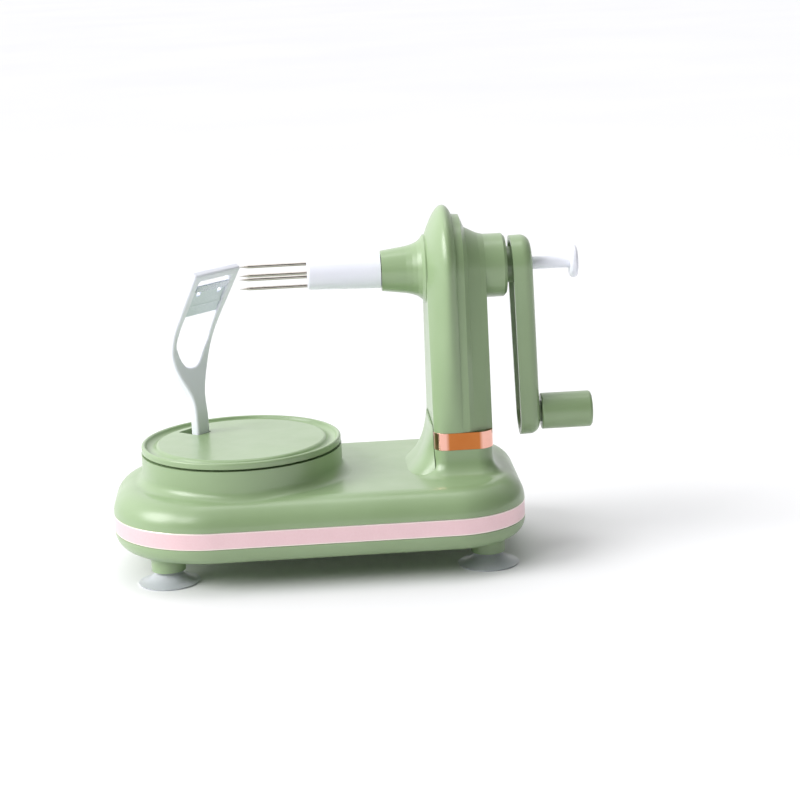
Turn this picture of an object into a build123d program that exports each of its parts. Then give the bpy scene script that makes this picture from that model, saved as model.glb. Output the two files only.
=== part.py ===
"""Hand-cranked apple peeler and corer on a suction-cup base.

Frame: +X runs along the fork axis towards the crank, +Z is up, and z = 0 is the plane
of the suction cup rims. Lengths are millimetres.
"""
from build123d import *
from math import acos, atan2, cos, pi, radians, sin, sqrt, tan
import os

os.makedirs("parts", exist_ok=True)

# ---------------------------------------------------------------- driving sizes
running_fit = 0.05          # radial clearance of a shaft turning in its bush
seat_fit = 0.02             # radial clearance of a part pushed onto a shaft
part_gap = 0.3              # gap between covers that move past each other

# gear train
gear_module = 1.0
pressure_angle = 25.0
addendum = 0.8 * gear_module
dedendum = 1.05 * gear_module
backlash = 0.14
pinion_teeth = 10
idler_teeth = 28
compound_teeth = 40
small_teeth = 10
table_teeth = 60
bevel_teeth = 16
bevel_keep = 0.66           # small end of a bevel tooth as a share of its large end
bevel_backlash = 0.3
gear_face = 5.0

# base
disc_x = -44.9
disc_r = 40.0
platform_gap = 0.2          # platform wall outside the disc edge
shoulder = 8.3              # base side outside the platform wall
left_reach = 12.1           # left end of the base outside the disc edge
right_margin = 23.4         # column shaft axis to the right end of the base
left_flat = 8.0             # straight part of half the left end
right_corner = 29.0
cup_h = 5.3
tray_z = 11.0
band_z = 17.9
band_h = 6.9
deck_z = 35.2
platform_z = 46.3
base_wall = 2.8
floor_t = 2.4
tray_edge = 6.5
cover_edge = 10.0           # round on the cover's top edge
band_t = 1.2
band_fit = 0.2
platform_wall = 2.3
platform_foot = 4.0         # hollow fillet round the foot of the platform

# feet
foot_boss_r = 6.7
foot_left_inset = 21.4      # foot centres in from the ends and the sides of the base
foot_right_inset = 15.9
foot_side_inset = 20.8
cup_r = 12.1
cup_stem_r = 3.2

# turntable disc
disc_lip_z = 49.7
disc_gap_z = 0.7            # open gap between the disc and the platform wall
lip_w = 1.6
groove_w = 4.6
groove_depth = 1.7
plateau_drop = 0.3
disc_t = 2.4
spindle_r = 5.0
hub_r = 8.0

# column
axis_z = 114.7
column_left_x = 31.5
ridge_x = 39.3
seam_x = 42.6
column_right_x = 54.9
head_r = 24.9
foot_half = 23.4
column_wall = 2.2
ring_z = 45.6
ring_h = 6.9
ring_t = 1.2
ring_fit = 0.1
stub_foot = 7.0             # hollow fillet from the stub into the deck
buttress_gap = 0.2          # between the ring and the deck's sweep up to it
boss_r = 12.6
boss_end_x = 63.7
collar_x = 14.4
collar_r = 8.0
collar_root_r = 9.8

# main shaft, fork and crank
shaft_r = 4.0
rod_r = 2.5
rod_fit = 0.1
tube_x = -15.0
tube_front_r = 6.0
tube_back_r = 6.8
tine_r = 0.65
tine_pitch_r = 4.4
tine_tip_x = -42.0
tine_point = 4.0
ejector_t = 1.2
ejector_recess = 2.9
arm_x = 66.0
arm_t = 8.0
arm_lean = 1.4              # degrees that the crank arm stands off at the knob
arm_top_r = 11.5
arm_end_r = 9.0
arm_wall = 2.0
crank_throw = 60.7
crank_hub_r = 7.2
knob_r = 7.3
knob_gap = 1.0
knob_end_x = 97.0
knob_pin_r = 2.0
button_x = 89.5
button_t = 3.0
button_r = 6.5

# peeler arm
arm_azimuth = 139.0
hinge_r = 22.2
hinge_z = 39.5
hinge_pin_r = 1.5
hinge_hub_r = 3.4
stem_w = 7.0
stem_t = 4.2
stem_in_r = 20.0
slot_side_gap = 0.5
slot_out = 6.6
head_low_r, head_low_z = 18.2, 97.0
head_top_r, head_top_z = 6.4, 117.0
head_half = 13.4
guard_h = 2.6
arm_round = 1.0             # rounded edges of the peeler arm
carrier_gap = 0.35
carrier_t = 1.6
blade_t = 0.7
carrier_pin_r = 1.0
column_shaft_r = 2.5

# ---------------------------------------------------------------- derived places


def centre_distance(teeth_a, teeth_b):
    """Distance between the axes of two meshed gears."""
    return gear_module * (teeth_a + teeth_b) / 2


compound_x = disc_x + centre_distance(table_teeth, small_teeth)
idler_x = compound_x + centre_distance(compound_teeth, idler_teeth)
column_x = idler_x + centre_distance(idler_teeth, pinion_teeth)
base_left = disc_x - disc_r - left_reach
base_right = column_x + right_margin
platform_r = disc_r + platform_gap
base_half = platform_r + shoulder
base_length = base_right - base_left
left_corner = base_half - left_flat
cover_z = band_z + band_h
floor_z = tray_z + floor_t
low_gear_z = floor_z + 2.6
high_gear_z = low_gear_z + gear_face + 2.5
inner_floor_z = high_gear_z + gear_face + 0.9
cavity_r = platform_r - platform_wall
table_hole_r = gear_module * table_teeth / 2 + addendum + 0.8
disc_under_z = platform_z + disc_gap_z
ring_top_z = ring_z + ring_h
plug_top_z = ring_top_z + 5.5
plug_roof = 2.0
bevel_r = gear_module * bevel_teeth / 2
knob_z = axis_z - crank_throw
arm_face_x = arm_x + arm_t
low_arm_x = arm_x + crank_throw * tan(radians(arm_lean))
knob_face_x = low_arm_x + arm_t
web_x = tube_x + ejector_recess
buttress_x = column_left_x - buttress_gap
# sweep of the deck up the turntable side of the column, as (height above the deck, reach, half width)
buttress_sections = [
    (-1.0, 12.0, foot_half - 0.5),
    (1.0, 8.6, foot_half - 0.8),
    (4.0, 5.6, foot_half - 1.8),
    (9.0, 3.0, foot_half - 5.0),
    (14.0, 1.5, foot_half - 6.0),
    (19.0, 0.7, foot_half - 8.0),
]
# column sections as (x, half depth at the ring, head radius), left to right
left_sections = [
    (column_left_x, foot_half - 4.0, head_r - 12.5),
    (column_left_x + 3.2, foot_half - 0.6, head_r - 5.2),
    (ridge_x, foot_half, head_r),
    (seam_x, foot_half - 0.2, head_r - 2.9),
]
right_sections = [
    (seam_x, foot_half - 0.3, head_r - 3.7),
    (seam_x + 3.1, foot_half - 0.7, head_r - 4.0),
    (seam_x + 5.1, foot_half - 1.4, head_r - 9.1),
    (seam_x + 10.0, foot_half - 3.6, head_r - 11.6),
    (column_right_x, foot_half - 5.4, head_r - 12.2),
]
left_cavity = [
    (column_left_x + column_wall + 0.3, foot_half - 6.4, head_r - 14.7),
    (column_left_x + column_wall + 4.0, foot_half - column_wall - 0.4, head_r - 6.4),
    (seam_x, foot_half - column_wall - 0.2, head_r - 6.0),
]
right_cavity = [
    (seam_x, foot_half - column_wall - 0.4, head_r - 6.0),
    (seam_x + 3.4, foot_half - column_wall - 1.2, head_r - 10.6),
    (column_right_x - column_wall, foot_half - column_wall - 4.6, head_r - 14.0),
]

screw_spots = [
    (disc_x - 25.0, base_half - 12.5),
    (disc_x - 25.0, 12.5 - base_half),
    (column_x + 2.0, base_half - 12.5),
    (column_x + 2.0, 12.5 - base_half),
]
foot_left_x = base_left + foot_left_inset
foot_right_x = base_right - foot_right_inset
foot_y = base_half - foot_side_inset
foot_spots = [
    (foot_left_x, foot_y),
    (foot_left_x, -foot_y),
    (foot_right_x, foot_y),
    (foot_right_x, -foot_y),
]
plug_inset = 5.4
bush_out_r = 5.6
bush_len = 6.0
axle_top_z = inner_floor_z + floor_t - 0.3
screw_r = 1.4
screw_head_r = 2.7
screw_head_h = 1.8
post_r = 3.6
axle_r = 1.5
axle_boss_r = 4.2
azimuth = radians(arm_azimuth)
radial = Vector(cos(azimuth), sin(azimuth), 0)
tangent = Vector(sin(azimuth), -cos(azimuth), 0)
tine_spots = [
    (tine_pitch_r * cos(radians(a)), axis_z + tine_pitch_r * sin(radians(a)))
    for a in (0, 90, 180, 270)
]
ejector_r = tine_pitch_r + tine_r - 0.05
web_t = 3.0
arm_draft = 14.0
arm_edge = 4.0
pin_boss_r = 4.2
cap_t = 1.8
set_screw_r = 1.2
set_screw_x = arm_x + 3.5
column_screw_x = column_right_x - 1.9
column_screw_spots = ((11.0, 70.0), (-11.0, 70.0))
spring_r = 2.4
spring_wire_r = 0.35
gear_screw_y = 8.3
bracket_z = axis_z - 18.7
bracket_t = 3.0
bracket_left_x = column_left_x + column_wall + 0.3 + part_gap
bracket_right_x = column_right_x - column_wall - part_gap
bracket_half = 9.6
bush_low_z = tray_z + 2.6
bush_high_z = floor_z + 6.8
shaft_top_z = axis_z - bevel_r * bevel_keep - 0.5
ear_near = stem_w / 2 + 0.35
ear_in = stem_w / 2 + 4.4
ear_t = 2.2
slot_in_r = stem_in_r - 0.25
slot_out_r = stem_in_r + stem_t + slot_out
head_t = 3.4
bow_r, bow_z = 24.0, 82.0
fork_low_z = 76.5
opening_half = 9.4
head_slope = Vector(head_top_r - head_low_r, head_top_z - head_low_z)
guard_low_z = head_top_z - guard_h
carrier_depth = 0.9
carrier_half = opening_half - carrier_gap
carrier_low = 2.0
carrier_high = 15.6
blade_high = 17.4
carrier_pin_len = 1.8
pivot_up = 7.0
pivot_r = (Vector(head_low_r, head_low_z) + head_slope.normalized() * pivot_up).X \
    + (carrier_depth + carrier_t / 2) * head_slope.normalized().Y
pivot_z = (Vector(head_low_r, head_low_z) + head_slope.normalized() * pivot_up).Y \
    - (carrier_depth + carrier_t / 2) * head_slope.normalized().X


def table_plane(along):
    """Plane square to the arm's hinge line, at a distance along it: x outwards, y up."""
    origin = Vector(disc_x, 0, 0) + tangent * along
    return Plane(origin=origin, x_dir=radial, z_dir=tangent)


def across_plane(out):
    """Plane square to the radius that the arm stands on: x along the hinge, y up."""
    origin = Vector(disc_x, 0, 0) + radial * out
    return Plane(origin=origin, x_dir=tangent, z_dir=Vector(0, 0, 0) - radial)


arm_plane = Plane(
    origin=(arm_x, 0, axis_z), x_dir=(0, 1, 0),
    z_dir=(cos(radians(arm_lean)), 0, sin(radians(arm_lean))),
)
ear_plane = Plane(origin=(0, 0, 0), x_dir=radial, z_dir=tangent)
head_up = radial * head_slope.normalized().X + Vector(0, 0, head_slope.normalized().Y)
head_plane = Plane(
    origin=Vector(disc_x, 0, 0) + radial * head_low_r + Vector(0, 0, head_low_z),
    x_dir=tangent,
    z_dir=tangent.cross(head_up),
)


def save(part, name):
    """Label a finished piece and write its file."""
    part.label = name
    export_step(part, f"parts/{name}.step")


# ---------------------------------------------------------------- shared sketches


def base_plan(inset):
    """Plan of the base drawn in by inset: broad corners at the turntable end."""
    with BuildSketch(mode=Mode.PRIVATE) as plan:
        with Locations(((base_left + base_right) / 2, 0)):
            Rectangle(base_length - 2 * inset, 2 * (base_half - inset))
        fillet(plan.vertices().group_by(Axis.X)[0], left_corner - inset)
        fillet(plan.vertices().group_by(Axis.X)[-1], right_corner - inset)
    return plan.sketch


def stub_plan(inset):
    """Plan of the column's foot drawn in by inset."""
    with BuildSketch(mode=Mode.PRIVATE) as plan:
        with Locations(((column_left_x + column_right_x) / 2, 0)):
            Rectangle(column_right_x - column_left_x - 2 * inset, 2 * (foot_half - inset))
        fillet(plan.vertices().group_by(Axis.X)[0], 5.0 - 0.5 * inset)
        fillet(plan.vertices().group_by(Axis.X)[-1], 6.5 - 0.5 * inset)
    return plan.sketch


def arch(foot, top_r):
    """Column outline seen along X: a round head whose sides run down to the ring."""
    drop = axis_z - ring_top_z
    reach = sqrt(foot * foot + drop * drop)
    turn = acos(top_r / reach) - atan2(drop, foot)
    side_y = top_r * cos(turn)
    side_z = axis_z + top_r * sin(turn)
    with BuildSketch(mode=Mode.PRIVATE) as outline:
        with BuildLine():
            Line((-foot, ring_top_z), (foot, ring_top_z))
            Line((foot, ring_top_z), (side_y, side_z))
            ThreePointArc((side_y, side_z), (0, axis_z + top_r), (-side_y, side_z))
            Line((-side_y, side_z), (-foot, ring_top_z))
        make_face()
    return outline.sketch


def involute(angle):
    """Involute of an angle."""
    return tan(angle) - angle


def gear_face_outline(teeth, thinned, phase, size=1.0):
    """Outline of a gear with a tooth centred at phase degrees, its teeth thinned for backlash."""
    pitch_r = gear_module * teeth / 2
    base_r = pitch_r * cos(radians(pressure_angle))
    root_r = pitch_r - dedendum
    tip_r = pitch_r + addendum
    at_pitch = pi / (2 * teeth) - thinned / (2 * pitch_r)
    start_r = max(base_r, root_r)

    def half_width(r):
        return at_pitch + involute(radians(pressure_angle)) - involute(acos(base_r / r))

    radii = [start_r, (start_r + pitch_r) / 2, pitch_r, (pitch_r + tip_r) / 2, tip_r]
    flank = [(root_r, half_width(start_r))] if root_r < start_r - 0.01 else []
    flank += [(r, half_width(r)) for r in radii]
    points = []
    for tooth in range(teeth):
        middle = radians(phase) + 2 * pi * tooth / teeth
        side = [(r, middle - w) for r, w in flank] + [(r, middle + w) for r, w in reversed(flank)]
        points += [(size * r * cos(a), size * r * sin(a)) for r, a in side]
    with BuildSketch(mode=Mode.PRIVATE) as outline:
        with BuildLine():
            Polyline(*points, close=True)
        make_face()
    return outline.sketch


def x_bar(start_x, end_x, r, z=axis_z, y=0.0):
    """Round bar along X."""
    with BuildPart(mode=Mode.PRIVATE) as bar:
        with BuildSketch(Plane.YZ.offset(start_x)):
            with Locations((y, z)):
                Circle(r)
        extrude(amount=end_x - start_x)
    return bar.part


def z_bar(start_z, end_z, r, x, y=0.0):
    """Round bar along Z."""
    with BuildPart(mode=Mode.PRIVATE) as bar:
        with BuildSketch(Plane.XY.offset(start_z)):
            with Locations((x, y)):
                Circle(r)
        extrude(amount=end_z - start_z)
    return bar.part


def turned(points):
    """Body turned about the main axis from (x, r) points; the first and last close on the axis."""
    with BuildPart(mode=Mode.PRIVATE) as body:
        with BuildSketch(Plane.XZ):
            with BuildLine():
                Polyline(*[(x, axis_z + r) for x, r in points], close=True)
            make_face()
        revolve(axis=Axis((0, 0, axis_z), (1, 0, 0)))
    return body.part


def spur_gear(teeth, phase, start_z, height, x):
    """Spur gear blank with teeth, standing on start_z."""
    with BuildPart(mode=Mode.PRIVATE) as gear:
        with BuildSketch(Plane.XY.offset(start_z)):
            with Locations((x, 0)):
                add(gear_face_outline(teeth, backlash, phase))
        extrude(amount=height)
    return gear.part


def bevel_gear(plane, phase):
    """Mitre gear whose teeth run towards the plane's origin, where the two axes cross."""
    with BuildPart(mode=Mode.PRIVATE) as gear:
        for size in (bevel_keep, 1.0):
            with BuildSketch(plane.offset(bevel_r * size)):
                add(gear_face_outline(bevel_teeth, bevel_backlash, phase, size))
        loft(ruled=True)
    return gear.part


# ---------------------------------------------------------------- base
with BuildPart() as base_tray:
    with BuildSketch(Plane.XY.offset(tray_z)):
        add(base_plan(0))
    extrude(amount=band_z - tray_z)
    fillet(base_tray.faces().sort_by(Axis.Z)[0].edges(), tray_edge)
    with BuildSketch(Plane.XY.offset(band_z)):
        add(base_plan(band_t + band_fit))
    extrude(amount=band_h / 2 - 0.1)
    with BuildSketch(Plane.XY.offset(floor_z)):
        add(base_plan(base_wall))
    extrude(amount=band_z + band_h, mode=Mode.SUBTRACT)
    with Locations(*[Location((x, y, cup_h)) for x, y in foot_spots]):
        Cylinder(foot_boss_r, floor_z - cup_h, align=(Align.CENTER, Align.CENTER, Align.MIN))
    fillet(
        base_tray.edges().filter_by(GeomType.CIRCLE).filter_by(
            lambda e: abs(e.radius - foot_boss_r) < 0.01 and abs(e.center().Z - tray_z) < 0.2
        ),
        2.5,
    )
    with Locations(*[Location((x, y, floor_z)) for x, y in screw_spots]):
        Cylinder(post_r, 3.0, align=(Align.CENTER, Align.CENTER, Align.MIN))
    with Locations((idler_x, 0, floor_z), (compound_x, 0, floor_z)):
        Cylinder(axle_boss_r, 2.2, align=(Align.CENTER, Align.CENTER, Align.MIN))
    with Locations((column_x, 0, floor_z - 0.5)):
        Cylinder(6.0, 2.3, align=(Align.CENTER, Align.CENTER, Align.MIN))
    with Locations((disc_x, 0, floor_z - 0.5)):
        Cylinder(9.0, 7.3, align=(Align.CENTER, Align.CENTER, Align.MIN))
    with Locations(*[Location((x, y, cup_h)) for x, y in foot_spots]):
        Cylinder(
            cup_stem_r + running_fit, 6.6,
            align=(Align.CENTER, Align.CENTER, Align.MIN), mode=Mode.SUBTRACT,
        )
    with Locations(*[Location((x, y, tray_z)) for x, y in screw_spots]):
        Cylinder(
            screw_r + 0.2, 10.0,
            align=(Align.CENTER, Align.CENTER, Align.MIN), mode=Mode.SUBTRACT,
        )
        Cylinder(
            screw_head_r + 0.3, screw_head_h + 0.6,
            align=(Align.CENTER, Align.CENTER, Align.MIN), mode=Mode.SUBTRACT,
        )
    with Locations((idler_x, 0, tray_z + 1.2), (compound_x, 0, tray_z + 1.2)):
        Cylinder(
            axle_r + seat_fit, 10.0,
            align=(Align.CENTER, Align.CENTER, Align.MIN), mode=Mode.SUBTRACT,
        )
    with Locations((column_x, 0, tray_z + 1.2)):
        Cylinder(
            4.0 + seat_fit, 10.0,
            align=(Align.CENTER, Align.CENTER, Align.MIN), mode=Mode.SUBTRACT,
        )
    with Locations((disc_x, 0, tray_z)):
        Cylinder(
            6.3, 2.6,
            align=(Align.CENTER, Align.CENTER, Align.MIN), mode=Mode.SUBTRACT,
        )
        Cylinder(
            spindle_r + 1.5 + seat_fit, 20.0,
            align=(Align.CENTER, Align.CENTER, Align.MIN), mode=Mode.SUBTRACT,
        )
save(base_tray.part, "base_tray")

with BuildPart() as trim_band:
    with BuildSketch(Plane.XY.offset(band_z)):
        add(base_plan(0))
        add(base_plan(band_t), mode=Mode.SUBTRACT)
    extrude(amount=band_h)
save(trim_band.part, "trim_band")

with BuildPart() as cover_hollow:
    with BuildSketch(Plane.XY.offset(deck_z - base_wall)):
        add(base_plan(base_wall))
    extrude(amount=-20)
    fillet(cover_hollow.faces().sort_by(Axis.Z)[-1].edges(), cover_edge - 2.5)

with BuildPart() as buttress:
    for up, reach, half in buttress_sections:
        with BuildSketch(Plane.XY.offset(deck_z + up)):
            with BuildLine():
                Spline(
                    (buttress_x, half), (buttress_x - 0.8 * reach, 0.74 * half),
                    (buttress_x - reach, 0), (buttress_x - 0.8 * reach, -0.74 * half),
                    (buttress_x, -half),
                )
                Line((buttress_x, -half), (buttress_x, half))
            make_face()
    loft()

with BuildPart() as base_cover:
    with BuildSketch(Plane.XY.offset(cover_z)):
        add(base_plan(0))
    extrude(amount=deck_z - cover_z)
    fillet(base_cover.faces().sort_by(Axis.Z)[-1].edges(), cover_edge)
    add(z_bar(cover_z, platform_z, platform_r, disc_x))
    fillet(
        base_cover.faces().filter_by(GeomType.CYLINDER).filter_by(
            lambda f: abs(f.radius - platform_r) < 0.01
        ).edges().filter_by(lambda e: e.center().Z < platform_z - 1),
        platform_foot,
    )
    with BuildSketch(Plane.XY.offset(cover_z)):
        add(stub_plan(0))
    extrude(amount=ring_z - cover_z)
    fillet(
        base_cover.edges().filter_by(
            lambda e: abs(e.center().Z - deck_z) < 3 and e.center().X > column_left_x - 1
            and abs(e.center().Y) < foot_half + 1 and e.center().X < column_right_x + 1
        ),
        stub_foot,
    )
    add(buttress.part)
    # neck inside the ring, then the plug that the column shells stand round
    with BuildSketch(Plane.XY.offset(ring_z)):
        add(stub_plan(ring_t + ring_fit))
    extrude(amount=ring_h - 0.1)
    with BuildSketch(Plane.XY.offset(ring_top_z - 0.1)):
        add(stub_plan(plug_inset))
    extrude(amount=plug_top_z - ring_top_z + 0.1)
    # skirt that drops inside the trim band
    with BuildSketch(Plane.XY.offset(cover_z)):
        add(base_plan(band_t + band_fit))
    extrude(amount=0.1 - band_h / 2)
    # hollow of the base, of the stub and of the well under the turntable
    add(cover_hollow.part, mode=Mode.SUBTRACT)
    with BuildSketch(Plane.XY.offset(deck_z - base_wall - 0.5)):
        add(stub_plan(plug_inset + 2.0))
    extrude(amount=plug_top_z - plug_roof - deck_z + base_wall + 0.5, mode=Mode.SUBTRACT)
    add(z_bar(inner_floor_z, deck_z - base_wall + 0.5, platform_r - 0.5, disc_x))
    add(z_bar(inner_floor_z + floor_t, platform_z + 1, cavity_r, disc_x), mode=Mode.SUBTRACT)
    add(z_bar(inner_floor_z - 1, platform_z, table_hole_r, disc_x), mode=Mode.SUBTRACT)
    # screw posts and axle bosses
    for x, y in screw_spots:
        add(z_bar(floor_z + 3.1, deck_z - base_wall + 0.5, post_r, x, y))
    add(z_bar(low_gear_z + gear_face + 0.4, deck_z - base_wall + 0.5, axle_boss_r, idler_x))
    for x, y in screw_spots:
        add(z_bar(floor_z, floor_z + 14, screw_r + seat_fit, x, y), mode=Mode.SUBTRACT)
    for x in (idler_x, compound_x):
        add(z_bar(low_gear_z, axle_top_z + 0.1, axle_r + seat_fit, x), mode=Mode.SUBTRACT)
    add(
        z_bar(plug_top_z - plug_roof - 1, plug_top_z + 1, column_shaft_r + 0.3, column_x),
        mode=Mode.SUBTRACT,
    )
save(base_cover.part, "base_cover")

# ---------------------------------------------------------------- feet
for number, (foot_x, foot_side_y) in enumerate(foot_spots, start=1):
    with BuildPart() as suction_cup:
        with BuildSketch(Plane.XZ):
            with BuildLine():
                Line((0, cup_h - 1.6), (0, cup_h + 6.0))
                Line((0, cup_h + 6.0), (cup_stem_r - 0.8, cup_h + 6.0))
                Line((cup_stem_r - 0.8, cup_h + 6.0), (cup_stem_r, cup_h + 4.6))
                Line((cup_stem_r, cup_h + 4.6), (cup_stem_r, cup_h))
                Line((cup_stem_r, cup_h), (4.6, cup_h))
                ThreePointArc((4.6, cup_h), (7.6, 2.3), (cup_r, 0.6))
                Line((cup_r, 0.6), (cup_r - 0.5, 0))
                Line((cup_r - 0.5, 0), (cup_r - 1.3, 0))
                ThreePointArc((cup_r - 1.3, 0), (6.0, 2.0), (1.0, cup_h - 1.6))
                Line((1.0, cup_h - 1.6), (0, cup_h - 1.6))
            make_face()
        revolve(axis=Axis.Z)
    save(suction_cup.part.moved(Location((foot_x, foot_side_y, 0))), f"suction_cup_{number}")

with BuildPart() as base_screws:
    for x, y in screw_spots:
        add(z_bar(tray_z + 0.5, tray_z + 0.5 + screw_head_h, screw_head_r, x, y))
        add(z_bar(tray_z + 0.5, tray_z + 14, screw_r, x, y))
save(base_screws.part, "base_screws")

# ---------------------------------------------------------------- column
with BuildPart() as column_ring:
    with BuildSketch(Plane.XY.offset(ring_z)):
        add(stub_plan(-0.1))
        add(stub_plan(ring_t), mode=Mode.SUBTRACT)
    extrude(amount=ring_h)
save(column_ring.part, "column_ring")

with BuildPart() as column_left:
    for x, foot, top_r in left_sections:
        with BuildSketch(Plane.YZ.offset(x)):
            add(arch(foot, top_r))
    loft()
    add(
        turned([
            (collar_x, 0), (collar_x, collar_r),
            (column_left_x - 7.5, collar_root_r - 0.5), (column_left_x - 5.0, collar_root_r + 0.1),
            (column_left_x - 3.0, collar_root_r + 0.9), (column_left_x - 1.4, collar_root_r + 2.1),
            (column_left_x - 0.2, collar_root_r + 3.8), (column_left_x + 4, collar_root_r + 3.8),
            (column_left_x + 4, 0),
        ])
    )
    for x, foot, top_r in left_cavity:
        with BuildSketch(Plane.YZ.offset(x)):
            add(arch(foot, top_r))
    loft(ruled=True, mode=Mode.SUBTRACT)
    for y, z in column_screw_spots:
        add(x_bar(column_left_x + 1.8, seam_x - 0.05, post_r, z, y))
        add(x_bar(column_screw_x - 15, seam_x + 1, screw_r + seat_fit, z, y), mode=Mode.SUBTRACT)
    add(x_bar(collar_x - 1, collar_x + bush_len, bush_out_r + seat_fit), mode=Mode.SUBTRACT)
    add(x_bar(collar_x, column_left_x + 5, shaft_r + 0.4), mode=Mode.SUBTRACT)
save(column_left.part, "column_left")

with BuildPart() as column_right:
    for x, foot, top_r in right_sections:
        with BuildSketch(Plane.YZ.offset(x)):
            add(arch(foot, top_r))
    loft(ruled=True)
    add(turned([
        (column_right_x - 3, 0), (column_right_x - 3, boss_r),
        (boss_end_x - 1.2, boss_r), (boss_end_x, boss_r - 1.2), (boss_end_x, 0),
    ]))
    for x, foot, top_r in right_cavity:
        with BuildSketch(Plane.YZ.offset(x)):
            add(arch(foot, top_r))
    loft(ruled=True, mode=Mode.SUBTRACT)
    add(
        x_bar(boss_end_x - 1.5 - bush_len, boss_end_x - 1.5, bush_out_r + seat_fit),
        mode=Mode.SUBTRACT,
    )
    add(x_bar(column_right_x - 4, boss_end_x - 1.5 - bush_len + 0.1, boss_r - 2.2), mode=Mode.SUBTRACT)
    add(x_bar(boss_end_x - 2, boss_end_x + 1, crank_hub_r - 1.4), mode=Mode.SUBTRACT)
    for y, z in column_screw_spots:
        add(x_bar(seam_x, column_right_x - 1, post_r, z, y))
        add(x_bar(seam_x - 1, column_right_x + 1, screw_r + 0.2, z, y), mode=Mode.SUBTRACT)
        add(
            x_bar(column_screw_x, column_right_x + 1, screw_head_r + 0.3, z, y),
            mode=Mode.SUBTRACT,
        )
save(column_right.part, "column_right")

with BuildPart() as column_screws:
    for y, z in column_screw_spots:
        add(x_bar(column_screw_x, column_screw_x + 1.5, screw_head_r, z, y))
        add(x_bar(column_screw_x - 14, column_screw_x, screw_r, z, y))
save(column_screws.part, "column_screws")

with BuildPart() as shaft_bracket:
    with BuildSketch(Plane.XY.offset(bracket_z)):
        with Locations(((bracket_left_x + bracket_right_x) / 2, 0)):
            Rectangle(bracket_right_x - bracket_left_x, 2 * bracket_half)
        with Locations((column_x, 0)):
            Circle(column_shaft_r + running_fit, mode=Mode.SUBTRACT)
    extrude(amount=bracket_t)
save(shaft_bracket.part, "shaft_bracket")

# ---------------------------------------------------------------- bushes and axles
with BuildPart() as front_bush:
    add(x_bar(collar_x, collar_x + bush_len, bush_out_r))
    add(x_bar(collar_x - 1, collar_x + bush_len + 1, shaft_r + running_fit), mode=Mode.SUBTRACT)
save(front_bush.part, "front_bush")

rear_bush_x = boss_end_x - 1.5 - bush_len
with BuildPart() as rear_bush:
    add(x_bar(rear_bush_x, rear_bush_x + bush_len, bush_out_r))
    add(x_bar(rear_bush_x - 1, boss_end_x, shaft_r + running_fit), mode=Mode.SUBTRACT)
save(rear_bush.part, "rear_bush")

with BuildPart() as column_bush:
    add(z_bar(tray_z + 1.2, floor_z + 1.8, 4.0, column_x))
    add(z_bar(tray_z + 2.0, floor_z + 3, column_shaft_r + running_fit, column_x), mode=Mode.SUBTRACT)
save(column_bush.part, "column_bush")

with BuildPart() as turntable_bush:
    add(z_bar(bush_low_z, bush_high_z, spindle_r + 1.5, disc_x))
    add(z_bar(bush_low_z - 1, bush_high_z + 1, spindle_r + running_fit, disc_x), mode=Mode.SUBTRACT)
save(turntable_bush.part, "turntable_bush")

for name, x in (("idler_axle", idler_x), ("compound_axle", compound_x)):
    with BuildPart() as axle:
        add(z_bar(tray_z + 1.2, axle_top_z, axle_r, x))
        chamfer(axle.edges().filter_by(GeomType.CIRCLE), 0.2)
    save(axle.part, name)

# ---------------------------------------------------------------- gear train
with BuildPart() as column_shaft:
    add(z_bar(tray_z + 2.1, shaft_top_z, column_shaft_r, column_x))
    chamfer(column_shaft.edges().filter_by(GeomType.CIRCLE), 0.4)
save(column_shaft.part, "column_shaft")

with BuildPart() as column_pinion:
    add(spur_gear(pinion_teeth, 0, low_gear_z, gear_face + 0.8, column_x))
    add(z_bar(low_gear_z + gear_face, low_gear_z + gear_face + 4, 4.6, column_x))
    add(
        z_bar(low_gear_z - 1, low_gear_z + 12, column_shaft_r + seat_fit, column_x),
        mode=Mode.SUBTRACT,
    )
save(column_pinion.part, "column_pinion")

half_idler_pitch = 180 / idler_teeth
with BuildPart() as idler_gear:
    add(spur_gear(idler_teeth, half_idler_pitch, low_gear_z, gear_face, idler_x))
    add(z_bar(low_gear_z - 0.3, low_gear_z + gear_face + 0.3, 3.6, idler_x))
    with Locations((idler_x, 0, low_gear_z)):
        with PolarLocations(8.2, 6):
            Cylinder(2.4, 20, mode=Mode.SUBTRACT)
    add(z_bar(low_gear_z - 1, low_gear_z + 12, axle_r + running_fit, idler_x), mode=Mode.SUBTRACT)
save(idler_gear.part, "idler_gear")

with BuildPart() as compound_gear:
    add(spur_gear(compound_teeth, 0, low_gear_z, gear_face, compound_x))
    add(spur_gear(small_teeth, 0, low_gear_z + gear_face, high_gear_z - low_gear_z, compound_x))
    add(z_bar(low_gear_z - 0.3, low_gear_z, 3.6, compound_x))
    with Locations((compound_x, 0, low_gear_z)):
        with PolarLocations(12.5, 6, 30):
            Cylinder(4.0, 20, mode=Mode.SUBTRACT)
    add(
        z_bar(low_gear_z - 1, inner_floor_z, axle_r + running_fit, compound_x),
        mode=Mode.SUBTRACT,
    )
save(compound_gear.part, "compound_gear")

mesh_point = Vector(column_x, 0, axis_z)
with BuildPart() as shaft_bevel:
    add(bevel_gear(Plane(mesh_point, x_dir=(1, 0, 0), z_dir=(0, 0, -1)), 180 / bevel_teeth))
    add(z_bar(axis_z - bevel_r - 3, axis_z - bevel_r, 5.0, column_x))
    add(z_bar(axis_z - 15, axis_z, column_shaft_r + seat_fit, column_x), mode=Mode.SUBTRACT)
save(shaft_bevel.part, "shaft_bevel")

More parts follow.
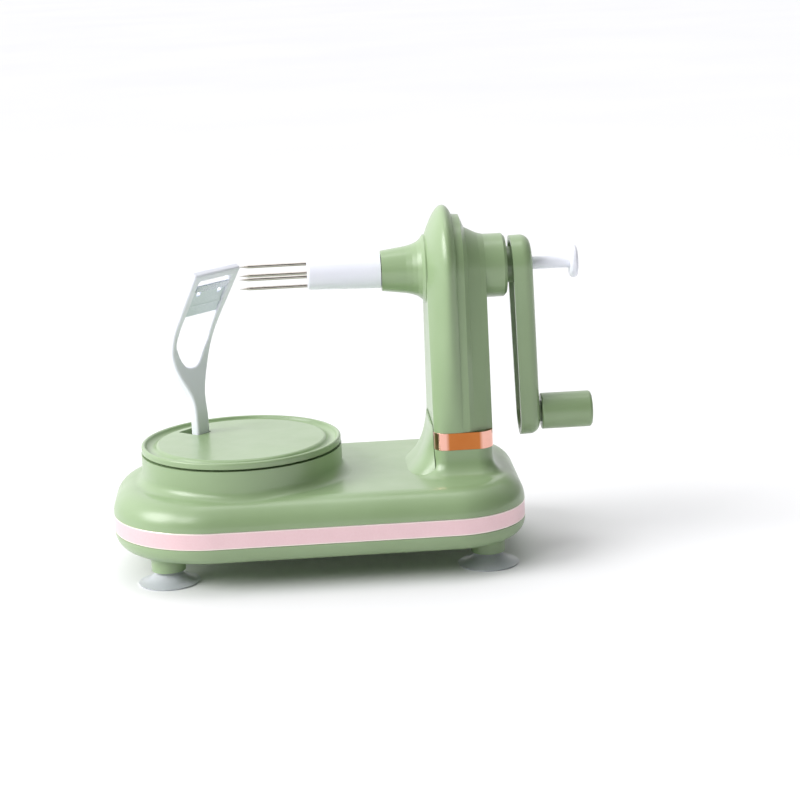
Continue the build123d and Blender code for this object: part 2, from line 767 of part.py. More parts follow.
with BuildPart() as drive_bevel:
    add(bevel_gear(Plane(mesh_point, x_dir=(0, 0, -1), z_dir=(1, 0, 0)), 0))
    add(x_bar(column_x + bevel_r, column_x + bevel_r + 2.6, 6.0))
    add(x_bar(column_x, column_x + 20, shaft_r + seat_fit), mode=Mode.SUBTRACT)
save(drive_bevel.part, "drive_bevel")

with BuildPart() as shaft_clip:
    add(z_bar(bracket_z - 1.4, bracket_z - 0.3, 4.4, column_x))
    add(z_bar(bracket_z - 3, bracket_z, column_shaft_r + seat_fit, column_x), mode=Mode.SUBTRACT)
save(shaft_clip.part, "shaft_clip")

# ---------------------------------------------------------------- main shaft and fork
with BuildPart() as main_shaft:
    add(x_bar(web_x + web_t, arm_face_x - arm_wall, shaft_r))
    add(x_bar(web_x, arm_face_x, rod_r + rod_fit), mode=Mode.SUBTRACT)
save(main_shaft.part, "main_shaft")

with BuildPart() as fork_tube:
    add(turned([
        (tube_x, 0), (tube_x, tube_front_r - 0.8), (tube_x + 0.3, tube_front_r - 0.25),
        (tube_x + 1.0, tube_front_r), (collar_x - part_gap, tube_back_r),
        (collar_x - part_gap, 0),
    ]))
    add(x_bar(tube_x - 1, web_x, ejector_r + 0.15), mode=Mode.SUBTRACT)
    add(x_bar(web_x + web_t, collar_x, shaft_r + seat_fit), mode=Mode.SUBTRACT)
    add(x_bar(web_x - 1, web_x + web_t + 1, rod_r + rod_fit), mode=Mode.SUBTRACT)
    for y, z in tine_spots:
        add(x_bar(web_x - 1, web_x + web_t - 0.4, tine_r + seat_fit, z, y), mode=Mode.SUBTRACT)
save(fork_tube.part, "fork_tube")

for number, (y, z) in enumerate(tine_spots, start=1):
    with BuildPart() as tine:
        with BuildSketch(Plane.XZ):
            with BuildLine():
                Polyline(
                    (tine_tip_x, 0), (tine_tip_x + tine_point, tine_r),
                    (web_x + web_t - 0.45, tine_r), (web_x + web_t - 0.45, 0), close=True,
                )
            make_face()
        revolve(axis=Axis.X)
    save(tine.part.moved(Location((0, y, z))), f"tine_{number}")

# ---------------------------------------------------------------- crank
with BuildPart() as crank_arm:
    with BuildSketch(arm_plane):
        Circle(arm_top_r)
        with Locations((0, -crank_throw)):
            Circle(arm_end_r)
        make_hull()
    extrude(amount=arm_t)
    fillet(crank_arm.faces().sort_by(Axis.X)[-1].edges(), arm_edge)
    with BuildSketch(arm_plane):
        Circle(arm_top_r - arm_wall)
        with Locations((0, -crank_throw)):
            Circle(arm_end_r - arm_wall)
        make_hull()
    extrude(amount=arm_t - arm_wall, taper=arm_draft, mode=Mode.SUBTRACT)
    add(x_bar(boss_end_x + part_gap, arm_face_x - 0.5, crank_hub_r))
    add(x_bar(low_arm_x + 2.6, knob_face_x + knob_gap - 0.2, pin_boss_r, knob_z))
    add(x_bar(boss_end_x, arm_face_x - arm_wall, shaft_r + seat_fit), mode=Mode.SUBTRACT)
    add(x_bar(boss_end_x, arm_face_x + 1, rod_r + rod_fit), mode=Mode.SUBTRACT)
    add(x_bar(low_arm_x, knob_face_x + 5, knob_pin_r + seat_fit, knob_z), mode=Mode.SUBTRACT)
    add(
        z_bar(axis_z - crank_hub_r - 1, axis_z - shaft_r, set_screw_r + seat_fit, set_screw_x),
        mode=Mode.SUBTRACT,
    )
save(crank_arm.part, "crank_arm")

with BuildPart() as crank_set_screw:
    add(z_bar(axis_z - crank_hub_r + 0.2, axis_z - shaft_r - 0.02, set_screw_r, set_screw_x))
save(crank_set_screw.part, "crank_set_screw")

with BuildPart() as knob_pin:
    add(x_bar(low_arm_x + 1.0, low_arm_x + 2.55, 3.4, knob_z))
    add(x_bar(low_arm_x + 2.0, knob_end_x - cap_t - 2.0, knob_pin_r, knob_z))
save(knob_pin.part, "knob_pin")

knob_x = knob_face_x + knob_gap
cap_x = knob_end_x - cap_t
with BuildPart() as knob_grip:
    add(x_bar(knob_x, cap_x, knob_r, knob_z))
    fillet(knob_grip.edges().filter_by(GeomType.CIRCLE).sort_by(Axis.X)[0], 0.6)
    add(x_bar(knob_x - 1, cap_x, knob_pin_r + running_fit, knob_z), mode=Mode.SUBTRACT)
    add(x_bar(cap_x - 4.4, cap_x + 1, 4.6, knob_z), mode=Mode.SUBTRACT)
save(knob_grip.part, "knob_grip")

with BuildPart() as knob_cap:
    add(x_bar(cap_x, knob_end_x, knob_r, knob_z))
    fillet(knob_cap.edges().filter_by(GeomType.CIRCLE).sort_by(Axis.X)[-1], cap_t - 0.4)
    add(x_bar(cap_x - 1.4, cap_x + 0.5, 4.58, knob_z))
save(knob_cap.part, "knob_cap")

with BuildPart() as knob_clip:
    add(x_bar(cap_x - 4.1, cap_x - 3.3, 3.8, knob_z))
    add(x_bar(cap_x - 5, cap_x - 2, knob_pin_r + seat_fit, knob_z), mode=Mode.SUBTRACT)
save(knob_clip.part, "knob_clip")

# ---------------------------------------------------------------- push rod
with BuildPart() as push_rod:
    add(x_bar(web_x - ejector_t - 0.1, button_x + 1.8, rod_r))
save(push_rod.part, "push_rod")

with BuildPart() as push_button:
    add(x_bar(button_x, button_x + button_t, button_r))
    fillet(push_button.edges().filter_by(GeomType.CIRCLE), button_t / 2 - 0.3)
    add(x_bar(button_x - 1, button_x + 1.85, rod_r + seat_fit), mode=Mode.SUBTRACT)
save(push_button.part, "push_button")

with BuildPart() as ejector_plate:
    add(x_bar(web_x - ejector_t - 0.1, web_x - 0.1, ejector_r))
    add(x_bar(web_x - 5, web_x + 1, rod_r + seat_fit), mode=Mode.SUBTRACT)
    for y, z in tine_spots:
        add(x_bar(web_x - 5, web_x + 1, tine_r + 0.2, z, y), mode=Mode.SUBTRACT)
save(ejector_plate.part, "ejector_plate")

# ---------------------------------------------------------------- turntable
plateau_r = disc_r - lip_w - groove_w
plateau_z = disc_lip_z - plateau_drop
with BuildPart() as turntable_disc:
    with BuildSketch(Plane.XZ):
        with BuildLine():
            Line((0, plateau_z - disc_t - 1.4), (0, plateau_z))
            Line((0, plateau_z), (plateau_r - 0.6, plateau_z))
            ThreePointArc(
                (plateau_r - 0.6, plateau_z), (plateau_r - 0.1, plateau_z - 0.15),
                (plateau_r + 0.5, plateau_z - 0.6),
            )
            ThreePointArc(
                (plateau_r + 0.5, plateau_z - 0.6),
                (plateau_r + groove_w / 2, plateau_z - groove_depth),
                (disc_r - lip_w, disc_lip_z - 0.5),
            )
            ThreePointArc(
                (disc_r - lip_w, disc_lip_z - 0.5), (disc_r - lip_w / 2 - 0.1, disc_lip_z),
                (disc_r, disc_lip_z - 0.9),
            )
            Line((disc_r, disc_lip_z - 0.9), (disc_r, disc_under_z + 0.3))
            Line((disc_r, disc_under_z + 0.3), (disc_r - 0.4, disc_under_z))
            Line((disc_r - 0.4, disc_under_z), (cavity_r - part_gap, disc_under_z))
            Line((cavity_r - part_gap, disc_under_z), (cavity_r - part_gap, plateau_z - disc_t - 1.4))
            Line((cavity_r - part_gap, plateau_z - disc_t - 1.4), (0, plateau_z - disc_t - 1.4))
        make_face()
    revolve(axis=Axis.Z)
    add(z_bar(high_gear_z + gear_face + 0.1, plateau_z - 1, hub_r + 2, 0))
    add(z_bar(high_gear_z - 0.1, high_gear_z + gear_face + 0.5, spindle_r + 1, 0))
    add(z_bar(bush_low_z - 0.1, high_gear_z, spindle_r, 0))
    add(z_bar(bush_low_z - 1, bush_high_z + 5, screw_r + seat_fit, 0), mode=Mode.SUBTRACT)
    for y in (gear_screw_y, -gear_screw_y):
        add(z_bar(high_gear_z, high_gear_z + 14, 1.1 + seat_fit, 0, y), mode=Mode.SUBTRACT)
    for start, end in ((ear_in, ear_in + ear_t), (-ear_near - ear_t, -ear_near)):
        with BuildSketch(ear_plane.offset(start)):
            with Locations((hinge_r, hinge_z)):
                Circle(hinge_hub_r + 0.4)
            with BuildLine():
                Polyline(
                    (hinge_r - hinge_hub_r - 0.4, hinge_z), (hinge_r + hinge_hub_r + 0.4, hinge_z),
                    (hinge_r + hinge_hub_r + 2, plateau_z - disc_t - 1),
                    (hinge_r - hinge_hub_r - 2, plateau_z - disc_t - 1), close=True,
                )
            make_face()
            with Locations((hinge_r, hinge_z)):
                Circle(hinge_pin_r + seat_fit, mode=Mode.SUBTRACT)
        extrude(amount=end - start)
    with BuildSketch(ear_plane.offset(-stem_w / 2 - slot_side_gap)):
        with BuildLine():
            Polyline(
                (slot_in_r, hinge_z + 4), (slot_out_r, hinge_z + 4),
                (slot_out_r, disc_lip_z + 2), (slot_in_r, disc_lip_z + 2), close=True,
            )
        make_face()
    extrude(amount=stem_w + 2 * slot_side_gap, mode=Mode.SUBTRACT)
save(turntable_disc.part.moved(Location((disc_x, 0, 0))), "turntable_disc")

with BuildPart() as turntable_gear:
    add(spur_gear(table_teeth, 180 / table_teeth, high_gear_z, gear_face, disc_x))
    add(z_bar(high_gear_z - 1, high_gear_z + 12, spindle_r + 1 + seat_fit, disc_x), mode=Mode.SUBTRACT)
    with Locations((disc_x, 0, high_gear_z)):
        with PolarLocations(20.0, 6, 30):
            Cylinder(5.4, 20, mode=Mode.SUBTRACT)
    for y in (gear_screw_y, -gear_screw_y):
        add(z_bar(high_gear_z - 1, high_gear_z + 14, 1.1 + seat_fit, disc_x, y), mode=Mode.SUBTRACT)
save(turntable_gear.part, "turntable_gear")

with BuildPart() as gear_screws:
    for y in (gear_screw_y, -gear_screw_y):
        add(z_bar(high_gear_z - 1.4, high_gear_z, 2.0, disc_x, y))
        add(z_bar(high_gear_z - 1.4, high_gear_z + 13, 1.1, disc_x, y))
save(gear_screws.part, "gear_screws")

with BuildPart() as spindle_washer:
    add(z_bar(bush_low_z - 0.9, bush_low_z - 0.1, spindle_r + 1.0, disc_x))
    add(z_bar(bush_low_z - 2, bush_low_z + 2, screw_r + seat_fit, disc_x), mode=Mode.SUBTRACT)
save(spindle_washer.part, "spindle_washer")

with BuildPart() as spindle_screw:
    add(z_bar(bush_low_z - 2.4, bush_low_z - 0.9, 3.0, disc_x))
    add(z_bar(bush_low_z - 1.5, bush_high_z + 4, screw_r, disc_x))
save(spindle_screw.part, "spindle_screw")

with BuildPart() as arm_pin:
    with BuildSketch(table_plane(-ear_near - ear_t - 0.4)):
        with Locations((hinge_r, hinge_z)):
            Circle(hinge_pin_r)
    extrude(amount=ear_in + ear_near + 2 * ear_t + 0.8)
save(arm_pin.part, "arm_pin")

with BuildPart() as arm_spring:
    with BuildLine() as coil:
        Helix(0.95, 2.85, spring_r)
    with BuildSketch(Plane(coil.line @ 0, z_dir=coil.line % 0)):
        Circle(spring_wire_r)
    sweep(is_frenet=True)
    with BuildSketch(Plane(coil.line @ 1, x_dir=(0, 0, 1), z_dir=(0, 1, 0))):
        Circle(spring_wire_r)
    extrude(amount=plateau_z - disc_t - 1.4 - hinge_z - 0.05)
spring_place = Plane(
    origin=Vector(disc_x, 0, hinge_z) + radial * hinge_r + tangent * (stem_w / 2 + 0.9),
    x_dir=radial,
    z_dir=tangent,
)
save(arm_spring.part.moved(spring_place.location), "arm_spring")

# ---------------------------------------------------------------- peeler arm
head_run = Vector(head_top_r - head_low_r, head_top_z - head_low_z).normalized()
head_out = Vector(head_run.Y, -head_run.X)
with BuildPart() as peeler_arm:
    with BuildSketch(table_plane(-head_half - 1)):
        low_out = Vector(head_low_r, head_low_z) + head_out * head_t
        top_out = Vector(head_top_r, head_top_z) + head_out * head_t
        with BuildLine():
            Line((stem_in_r, hinge_z), (stem_in_r, hinge_z + 8))
            Spline(
                (stem_in_r, hinge_z + 8), (stem_in_r + 0.8, 62), (bow_r, bow_z),
                (head_low_r, head_low_z), tangents=[(0, 1), (head_run.X, head_run.Y)],
            )
            Line((head_low_r, head_low_z), (head_top_r, head_top_z))
            Line((head_top_r, head_top_z), (top_out.X, top_out.Y))
            Line((top_out.X, top_out.Y), (low_out.X, low_out.Y))
            Spline(
                (low_out.X, low_out.Y), (bow_r + stem_t, bow_z + 0.8),
                (stem_in_r + stem_t + 0.6, 62), (stem_in_r + stem_t, hinge_z + 8),
                tangents=[(-head_run.X, -head_run.Y), (0, -1)],
            )
            Line((stem_in_r + stem_t, hinge_z + 8), (stem_in_r + stem_t, hinge_z))
            Line((stem_in_r + stem_t, hinge_z), (stem_in_r, hinge_z))
        make_face()
    extrude(amount=2 * head_half + 2)
    with BuildSketch(across_plane(60)):
        with BuildLine():
            Line((0, hinge_z - 1), (stem_w / 2, hinge_z - 1))
            Line((stem_w / 2, hinge_z - 1), (stem_w / 2, 56))
            Spline(
                (stem_w / 2, 56), (stem_w / 2 + 0.3, 64), (7.9, 74), (11.3, 84), (12.6, 98),
                (head_half, head_top_z + 4), tangents=[(0, 1), (0.03, 1)],
            )
            Line((head_half, head_top_z + 4), (0, head_top_z + 4))
            mirror(about=Plane.YZ)
        make_face()
        with BuildLine():
            Line((0, fork_low_z), (0.2, fork_low_z))
            Spline(
                (0.2, fork_low_z), (4.6, fork_low_z + 2.2), (7.9, fork_low_z + 8),
                (opening_half, 97), tangents=[(1, 0), (0, 1)],
            )
            Line((opening_half, 97), (opening_half, guard_low_z))
            Line((opening_half, guard_low_z), (0, guard_low_z))
            mirror(about=Plane.YZ)
        make_face(mode=Mode.SUBTRACT)
    extrude(amount=90, mode=Mode.INTERSECT)
    fillet(
        peeler_arm.edges().filter_by(lambda e: e.center().Z > hinge_z + 3),
        min(arm_round, stem_t / 4, head_t / 3),
    )
    with BuildSketch(table_plane(-stem_w / 2)):
        with Locations((hinge_r, hinge_z)):
            Circle(hinge_hub_r)
    extrude(amount=stem_w)
    with BuildSketch(table_plane(-stem_w)):
        with Locations((hinge_r, hinge_z)):
            Circle(hinge_pin_r + running_fit)
    extrude(amount=2 * stem_w, mode=Mode.SUBTRACT)
    with BuildSketch(table_plane(-opening_half - carrier_pin_len)):
        with Locations((pivot_r, pivot_z)):
            Circle(carrier_pin_r + running_fit)
    extrude(amount=2 * (opening_half + carrier_pin_len), mode=Mode.SUBTRACT)
save(peeler_arm.part, "peeler_arm")

# ---------------------------------------------------------------- blade
with BuildPart() as blade_carrier:
    with BuildSketch(head_plane.offset(-carrier_depth - carrier_t)):
        with BuildLine():
            Polyline(
                (-carrier_half, carrier_low), (carrier_half, carrier_low),
                (carrier_half, carrier_high), (-carrier_half, carrier_high), close=True,
            )
        make_face()
        with Locations((-carrier_half + 3.0, carrier_high - 2.6), (carrier_half - 3.0, carrier_high - 2.6)):
            Circle(1.3, mode=Mode.SUBTRACT)
    extrude(amount=carrier_t)
    with BuildSketch(table_plane(-opening_half - carrier_pin_len + 0.3)):
        with Locations((pivot_r, pivot_z)):
            Circle(carrier_pin_r)
    extrude(amount=2 * (opening_half + carrier_pin_len - 0.3))
save(blade_carrier.part, "blade_carrier")

with BuildPart() as peeler_blade:
    with BuildSketch(head_plane.offset(-carrier_depth)):
        with BuildLine():
            Polyline(
                (-carrier_half, carrier_high - 1.2), (carrier_half, carrier_high - 1.2),
                (carrier_half, blade_high), (-carrier_half, blade_high), close=True,
            )
        make_face()
    extrude(amount=blade_t)
save(peeler_blade.part, "peeler_blade")
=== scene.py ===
"""A hand-cranked apple peeler and corer: its finishes, its visible detail, a pale floor and a soft studio."""

import math

import bmesh
import bpy
from mathutils import Matrix, Vector


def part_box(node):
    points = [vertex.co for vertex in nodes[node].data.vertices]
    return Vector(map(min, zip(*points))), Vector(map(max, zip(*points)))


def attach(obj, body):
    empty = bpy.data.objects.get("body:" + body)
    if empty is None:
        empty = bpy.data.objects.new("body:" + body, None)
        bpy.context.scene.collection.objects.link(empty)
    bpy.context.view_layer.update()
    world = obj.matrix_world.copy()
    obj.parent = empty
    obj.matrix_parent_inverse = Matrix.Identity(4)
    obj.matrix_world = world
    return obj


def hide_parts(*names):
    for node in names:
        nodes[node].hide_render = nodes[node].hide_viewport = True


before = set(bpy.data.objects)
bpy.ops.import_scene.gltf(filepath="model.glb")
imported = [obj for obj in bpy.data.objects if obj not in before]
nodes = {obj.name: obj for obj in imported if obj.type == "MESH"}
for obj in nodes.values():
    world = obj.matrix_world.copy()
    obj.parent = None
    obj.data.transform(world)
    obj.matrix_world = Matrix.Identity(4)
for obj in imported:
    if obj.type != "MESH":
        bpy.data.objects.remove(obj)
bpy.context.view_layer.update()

MM = 0.001
NOISE_LOW, NOISE_HIGH = 0.3, 0.7        # the part of a noise's range that its values mostly fill
SAME_PLACE = 0.001                      # mm, within which two mesh corners are one
FLAT_ANGLE = 0.5                        # degrees, under which two faces are one flat face
CORNER_ANGLE = 35.0                     # degrees, over which an edge is a corner to be rolled
SHARP_ANGLE = 30.0                      # degrees, over which an edge stays sharp in the shading
FLOOR_R = 14.0                          # m
AIM = (-0.01, 0.0, 0.07)                # m, the middle of the object


# ---- The nodes of a material ----

def linear(hex_code):
    """An sRGB hex colour as linear RGBA."""
    parts = [int(hex_code[i:i + 2], 16) / 255 for i in (1, 3, 5)]
    return [p / 12.92 if p <= 0.04045 else ((p + 0.055) / 1.055) ** 2.4 for p in parts] + [1.0]


def feed(tree, node, inputs):
    """Sets a node's inputs to values, or links them to sockets."""
    for name, value in inputs.items():
        if isinstance(value, bpy.types.NodeSocket):
            tree.links.new(value, node.inputs[name])
        else:
            node.inputs[name].default_value = value


def add_node(tree, kind, inputs=None, **settings):
    """Adds one node, sets its properties, and fills or links its inputs."""
    made = tree.nodes.new("ShaderNode" + kind)
    for name, value in settings.items():
        setattr(made, name, value)
    feed(tree, made, inputs or {})
    return made


def per_mm(size):
    """The noise scale that gives features of that size in millimetres."""
    return 1.0 / (size * MM)


def start_finish(name, **sockets):
    """A new material with its shader's plain values set, and the coordinates that its patterns read."""
    finish = bpy.data.materials.new(name)
    finish.use_nodes = True
    tree = finish.node_tree
    shader = tree.nodes["Principled BSDF"]
    for socket, value in sockets.items():
        shader.inputs[socket.replace("_", " ")].default_value = value
    place = add_node(tree, "TexCoord").outputs["Object"]
    return finish, tree, shader, place


def mottle(tree, place, size, low, high, stretch=(1, 1, 1), detail=2.0):
    """A noise of that feature size in millimetres, spread over low to high."""
    turned = add_node(tree, "Mapping", {"Vector": place, "Scale": stretch})
    noise = add_node(tree, "TexNoise", {"Vector": turned.outputs["Vector"], "Scale": per_mm(size),
                                        "Detail": detail})
    spread = {"Value": noise.outputs["Fac"], "From Min": NOISE_LOW, "From Max": NOISE_HIGH,
              "To Min": low, "To Max": high}
    return add_node(tree, "MapRange", spread).outputs["Result"]


def moulded_plastic(name, pale, deep, gloss, grain, depth, **sockets):
    """Injection-moulded plastic: an even colour with slow flow marks, and the fine skin of the mould."""
    finish, tree, shader, place = start_finish(name, **sockets)
    flow = mottle(tree, place, 32.0, 0.0, 1.0)
    colour = add_node(tree, "Mix", {"Factor": flow, "A": linear(pale), "B": linear(deep)}, data_type="RGBA")
    skin = mottle(tree, place, grain, 0.0, 1.0, detail=3.0)
    bump = add_node(tree, "Bump", {"Height": skin, "Distance": depth * MM, "Strength": 0.5})
    feed(tree, shader, {"Base Color": colour.outputs["Result"],
                        "Roughness": mottle(tree, place, 9.0, gloss[0], gloss[1], detail=3.0),
                        "Normal": bump.outputs["Normal"]})
    return finish


def worked_metal(name, pale, deep, gloss, stretch, grain, depth, **sockets):
    """Metal with marks along its length from drawing or grinding, or a spangle when it isn't stretched."""
    finish, tree, shader, place = start_finish(name, Metallic=1.0, **sockets)
    marks = mottle(tree, place, grain, 0.0, 1.0, stretch=stretch, detail=4.0)
    colour = add_node(tree, "Mix", {"Factor": marks, "A": linear(pale), "B": linear(deep)}, data_type="RGBA")
    bump = add_node(tree, "Bump", {"Height": marks, "Distance": depth * MM, "Strength": 0.4})
    feed(tree, shader, {"Base Color": colour.outputs["Result"],
                        "Roughness": mottle(tree, place, grain * 1.7, gloss[0], gloss[1], stretch=stretch),
                        "Normal": bump.outputs["Normal"]})
    return finish


# ---- The finishes ----

# Satin ABS, injection moulded in sage green: even colour, soft broad highlights and a faint orange peel.
sage_abs = moulded_plastic("sage green ABS, satin moulded", "#94AC82", "#8DA57A", (0.3, 0.38), 1.6, 0.012,
                           IOR=1.54, Coat_Weight=0.35, Coat_Roughness=0.22)
# White ABS, injection moulded: cool white that goes faintly lavender in shade, with a softer gloss.
white_abs = moulded_plastic("cool white ABS, satin moulded", "#F3F5FE", "#EEF0FB", (0.34, 0.42), 1.4, 0.008,
                            IOR=1.54, Subsurface_Weight=0.12, Subsurface_Scale=0.003,
                            Subsurface_Radius=(1.0, 1.0, 1.0))
# Natural acetal, injection moulded: milky, slightly waxy gears.
natural_acetal = moulded_plastic("natural acetal, moulded", "#E8E4D8", "#DDD8CA", (0.4, 0.5), 1.2, 0.01,
                                 IOR=1.48, Subsurface_Weight=0.1)
# Dark acetal, moulded and reamed: bearing bushes with a dull shine.
dark_acetal = moulded_plastic("dark acetal, moulded", "#3E4144", "#34373A", (0.42, 0.52), 1.0, 0.01, IOR=1.48)
# Stainless wire, drawn and polished: fine marks along the wire and sharp bright lines of light.
drawn_stainless = worked_metal("stainless wire, drawn and polished", "#C9C4BC", "#B7B1A9", (0.16, 0.24),
                               (0.02, 1, 1), 0.5, 0.003)
# Stainless strip, ground: the cutting blade, bright with fine marks along its edge.
ground_stainless = worked_metal("stainless strip, ground", "#D3D8DE", "#B4BBC4", (0.2, 0.32),
                                (0.15, 1, 1), 0.5, 0.006)
# Stainless sheet, bead blasted: the pressed blade carrier, pale, blue-grey and matt.
blasted_stainless = worked_metal("stainless sheet, bead blasted", "#E2E7F0", "#D6DCE7", (0.42, 0.55),
                                 (1, 1, 1), 0.45, 0.01)
# Steel screws, zinc plated: a grey shine with a faint blue spangle.
zinc_plate = worked_metal("steel, zinc plated", "#BFC4CA", "#A3AAB4", (0.25, 0.4), (1, 1, 1), 2.0, 0.004)


def trim_film():
    """Aluminium trim, pink metallic lacquer: pale satin band, with a near-white painted highlight along both
    rolled edges.
    """
    finish, tree, shader, place = start_finish("aluminium trim, pink satin lacquer", Metallic=0.55,
                                               Coat_Weight=0.3, Coat_Roughness=0.25)
    low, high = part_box("trim_band")
    # Painted highlight: the colour turns near white along the band's top and foot edges, where the rolled
    # edges catch the light.
    edge = 0.7 * MM
    full = edge * 0.6
    height = add_node(tree, "SeparateXYZ", {"Vector": place}).outputs["Z"]
    at_foot = {"Value": height, "From Min": low.z + full, "From Max": low.z + edge,
               "To Min": 1.0, "To Max": 0.0}
    at_top = {"Value": height, "From Min": high.z - edge, "From Max": high.z - full,
              "To Min": 0.0, "To Max": 1.0}
    painted_foot_highlight = add_node(tree, "MapRange", at_foot).outputs["Result"]
    painted_top_highlight = add_node(tree, "MapRange", at_top).outputs["Result"]
    painted_edge_highlight = add_node(tree, "Math", {0: painted_foot_highlight, 1: painted_top_highlight}, operation="MAXIMUM").outputs["Value"]
    flake = mottle(tree, place, 0.9, 0.0, 1.0, detail=3.0)
    field = add_node(tree, "Mix", {"Factor": flake, "A": linear("#EFCED2"), "B": linear("#EDCACE")},
                     data_type="RGBA").outputs["Result"]
    colour = add_node(tree, "Mix", {"Factor": painted_edge_highlight, "A": field, "B": linear("#FBEDE6")}, data_type="RGBA")
    bump = add_node(tree, "Bump", {"Height": flake, "Distance": 0.004 * MM, "Strength": 0.3})
    feed(tree, shader, {"Base Color": colour.outputs["Result"],
                        "Roughness": mottle(tree, place, 6.0, 0.3, 0.38), "Normal": bump.outputs["Normal"]})
    return finish


def plated_ring():
    """ABS ring, rose gold electroplate: a mirror, coppery on its faces, with a painted pink reflection
    towards both ends.
    """
    finish, tree, shader, place = start_finish("rose gold electroplate", Metallic=1.0)
    low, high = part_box("column_ring")
    half = (high.x - low.x) / 2
    centred = add_node(tree, "Mapping", {"Vector": place, "Location": (-(low.x + high.x) / 2, 0, 0)})
    along = add_node(tree, "SeparateXYZ", {"Vector": centred.outputs["Vector"]}).outputs["X"]
    off_centre = add_node(tree, "Math", {0: along}, operation="ABSOLUTE").outputs["Value"]
    # Painted reflection: the colour turns pink towards both ends of the ring, where its rounded corners would
    # reflect the room.
    to_corner = {"Value": off_centre, "From Min": half * 0.5, "From Max": half * 0.62,
                 "To Min": 0.0, "To Max": 1.0}
    painted_pink_reflection = add_node(tree, "MapRange", to_corner).outputs["Result"]
    cloud = mottle(tree, place, 12.0, 0.0, 1.0)
    face = add_node(tree, "Mix", {"Factor": cloud, "A": linear("#BC7540"), "B": linear("#B46C37")},
                    data_type="RGBA").outputs["Result"]
    colour = add_node(tree, "Mix", {"Factor": painted_pink_reflection, "A": face, "B": linear("#E9B3A2")}, data_type="RGBA")
    ripple = mottle(tree, place, 7.0, 0.0, 1.0)
    bump = add_node(tree, "Bump", {"Height": ripple, "Distance": 0.02 * MM, "Strength": 0.3})
    feed(tree, shader, {"Base Color": colour.outputs["Result"],
                        "Roughness": mottle(tree, place, 5.0, 0.08, 0.13), "Normal": bump.outputs["Normal"]})
    return finish


def soft_silicone():
    """Silicone rubber, compression moulded: milky blue-grey that passes light, with a soft dull skin."""
    finish, tree, shader, place = start_finish("silicone rubber, moulded", IOR=1.41, Transmission_Weight=0.3,
                                               Subsurface_Weight=0.35, Subsurface_Scale=0.006,
                                               Subsurface_Radius=(1.0, 1.0, 1.0))
    cloud = mottle(tree, place, 10.0, 0.0, 1.0)
    colour = add_node(tree, "Mix", {"Factor": cloud, "A": linear("#EEF2F8"), "B": linear("#E4EAF2")},
                      data_type="RGBA")
    skin = mottle(tree, place, 1.2, 0.0, 1.0)
    bump = add_node(tree, "Bump", {"Height": skin, "Distance": 0.01 * MM, "Strength": 0.4})
    feed(tree, shader, {"Base Color": colour.outputs["Result"],
                        "Roughness": mottle(tree, place, 3.0, 0.3, 0.42, detail=3.0),
                        "Normal": bump.outputs["Normal"]})
    return finish


finishes = {
    "green_abs": sage_abs, "trim_pink": trim_film(), "rose_gold": plated_ring(), "white_abs": white_abs,
    "silicone": soft_silicone(), "steel": drawn_stainless, "blade_steel": ground_stainless,
    "carrier_steel": blasted_stainless, "gear_acetal": natural_acetal, "bush_acetal": dark_acetal,
    "zinc_steel": zinc_plate,
}

for node in nodes.values():
    for slot in node.material_slots:
        slot.material = finishes[slot.material.name.split(".")[0]]


# ---- Pieces whose worked edges show ----

def worked_edges(node, name, body, slot, width):
    """A piece in a CAD node's place whose sharp edges are rolled or deburred to that width in millimetres."""
    shape = bmesh.new()
    shape.from_mesh(nodes[node].data)
    bmesh.ops.remove_doubles(shape, verts=shape.verts, dist=SAME_PLACE * MM)
    bmesh.ops.dissolve_limit(shape, angle_limit=math.radians(FLAT_ANGLE), verts=shape.verts,
                             edges=shape.edges)
    corners = [edge for edge in shape.edges
               if len(edge.link_faces) == 2 and edge.calc_face_angle(0.0) > math.radians(CORNER_ANGLE)]
    bmesh.ops.bevel(shape, geom=corners, offset=width * MM, offset_type="OFFSET", affect="EDGES", segments=3,
                    profile=0.5, material=-1, clamp_overlap=True)
    bmesh.ops.triangulate(shape, faces=[face for face in shape.faces if len(face.verts) > 4])
    mesh = bpy.data.meshes.new(name)
    shape.to_mesh(mesh)
    shape.free()
    mesh.shade_smooth()
    mesh.set_sharp_from_angle(angle=math.radians(SHARP_ANGLE))
    mesh.materials.clear()
    mesh.materials.append(finishes[slot])
    piece = bpy.data.objects.new(name, mesh)
    bpy.context.scene.collection.objects.link(piece)
    even = piece.modifiers.new("even light on flat faces", "WEIGHTED_NORMAL")
    even.keep_sharp = True
    even.weight = 100
    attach(piece, body)
    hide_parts(node)


worked_edges("trim_band", "trim_band_rolled", "base", "trim_pink", 0.35)
worked_edges("column_ring", "column_ring_polished", "base", "rose_gold", 0.35)
worked_edges("blade_carrier", "blade_carrier_pressed", "blade_head", "carrier_steel", 0.3)
worked_edges("peeler_blade", "peeler_blade_ground", "blade_head", "blade_steel", 0.12)


# ---- The studio ----

def look_from(place, yaw, pitch, roll):
    """A camera's matrix from its place in metres and its angles in radians."""
    ahead = Vector((math.sin(yaw) * math.cos(pitch), math.cos(yaw) * math.cos(pitch), -math.sin(pitch)))
    right = Vector((math.cos(yaw), -math.sin(yaw), 0.0))
    up = right.cross(ahead)
    side = right * math.cos(roll) + up * math.sin(roll)
    top = up * math.cos(roll) - right * math.sin(roll)
    matrix = Matrix((side, top, -ahead)).transposed().to_4x4()
    matrix.translation = place
    return matrix


camera_data = bpy.data.cameras.new("camera")
camera_data.lens = 93.74
camera_data.sensor_width = 36.0
camera_data.clip_end = 60.0
camera = bpy.data.objects.new("camera", camera_data)
bpy.context.scene.collection.objects.link(camera)
camera.matrix_world = look_from(Vector((-0.022771, -0.81582, 0.2513)), 0.052, 0.228, -0.044)
bpy.context.scene.camera = camera

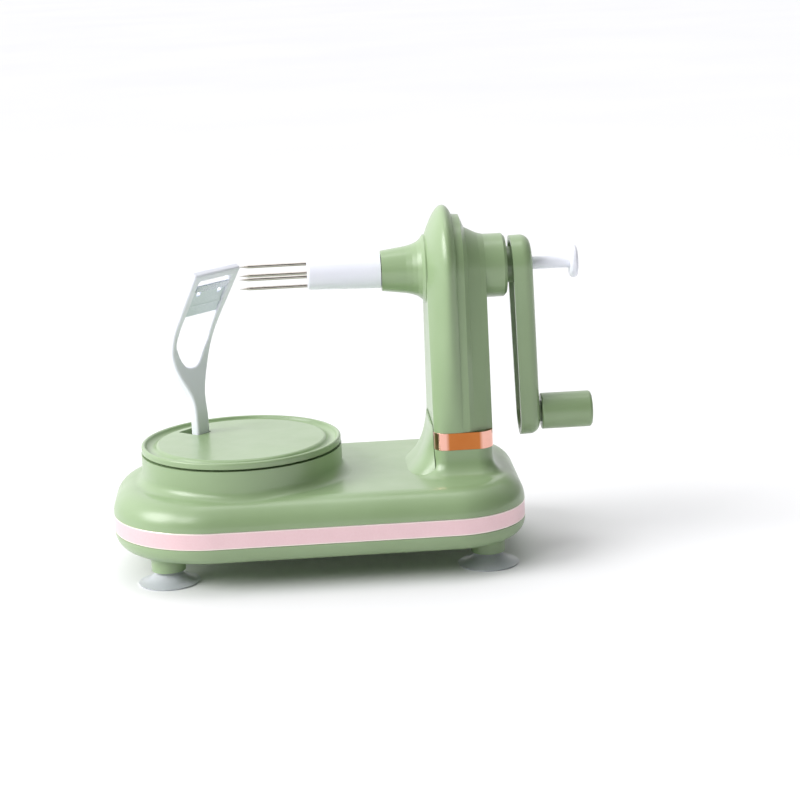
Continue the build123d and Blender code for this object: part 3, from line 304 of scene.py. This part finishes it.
floor_finish, floor_tree, floor_shader, floor_place = start_finish("white paper sweep", Roughness=0.9)
floor_cloud = mottle(floor_tree, floor_place, 400.0, 0.0, 1.0)
floor_colour = add_node(floor_tree, "Mix", {"Factor": floor_cloud, "A": linear("#F0F0F1"),
                                            "B": linear("#EDEDEF")}, data_type="RGBA")
feed(floor_tree, floor_shader, {"Base Color": floor_colour.outputs["Result"]})
floor_shape = bmesh.new()
bmesh.ops.create_circle(floor_shape, cap_ends=True, segments=96, radius=FLOOR_R)
floor_mesh = bpy.data.meshes.new("floor")
floor_shape.to_mesh(floor_mesh)
floor_shape.free()
floor_mesh.materials.append(floor_finish)
floor = bpy.data.objects.new("floor", floor_mesh)
bpy.context.scene.collection.objects.link(floor)


def studio_light(name, kind, place, power, **shape):
    """A soft light at that place in metres, aimed at the middle of the object."""
    data = bpy.data.lights.new(name, kind)
    data.energy = power
    for setting, value in shape.items():
        setattr(data, setting, value)
    lamp = bpy.data.objects.new(name, data)
    bpy.context.scene.collection.objects.link(lamp)
    lamp.location = place
    lamp.rotation_euler = (Vector(AIM) - Vector(place)).to_track_quat("-Z", "Y").to_euler()


studio_light("left sky panel", "SUN", (-0.8, -0.2, 0.6), 2.15, angle=math.radians(36.0))
studio_light("front window", "AREA", (-0.62, -0.75, 0.75), 2.6, shape="RECTANGLE", size=0.35, size_y=0.5)
studio_light("overhead strip", "AREA", (0.0, 0.12, 1.1), 1.2, shape="RECTANGLE", size=0.6, size_y=0.3)

world = bpy.data.worlds.new("studio")
bpy.context.scene.world = world
world.use_nodes = True
sky = world.node_tree
# The room is brightest above and to the left, and dark beside the camera.
towards = add_node(sky, "TexCoord").outputs["Generated"]
brightest = Vector((-0.42, 0.62, 0.66)).normalized()
facing = add_node(sky, "VectorMath", {0: towards, 1: brightest}, operation="DOT_PRODUCT")
glow = add_node(sky, "MapRange", {"Value": facing.outputs["Value"], "From Min": -0.1, "From Max": 1.0,
                                  "To Min": 0.02, "To Max": 1.5}).outputs["Result"]
seen = add_node(sky, "LightPath").outputs["Is Camera Ray"]
strength = add_node(sky, "Mix", {"Factor": seen, "A": glow, "B": 0.97})
feed(sky, sky.nodes["Background"], {"Color": linear("#FDFDFE"), "Strength": strength.outputs["Result"]})
bpy.context.scene.view_settings.view_transform = "Standard"
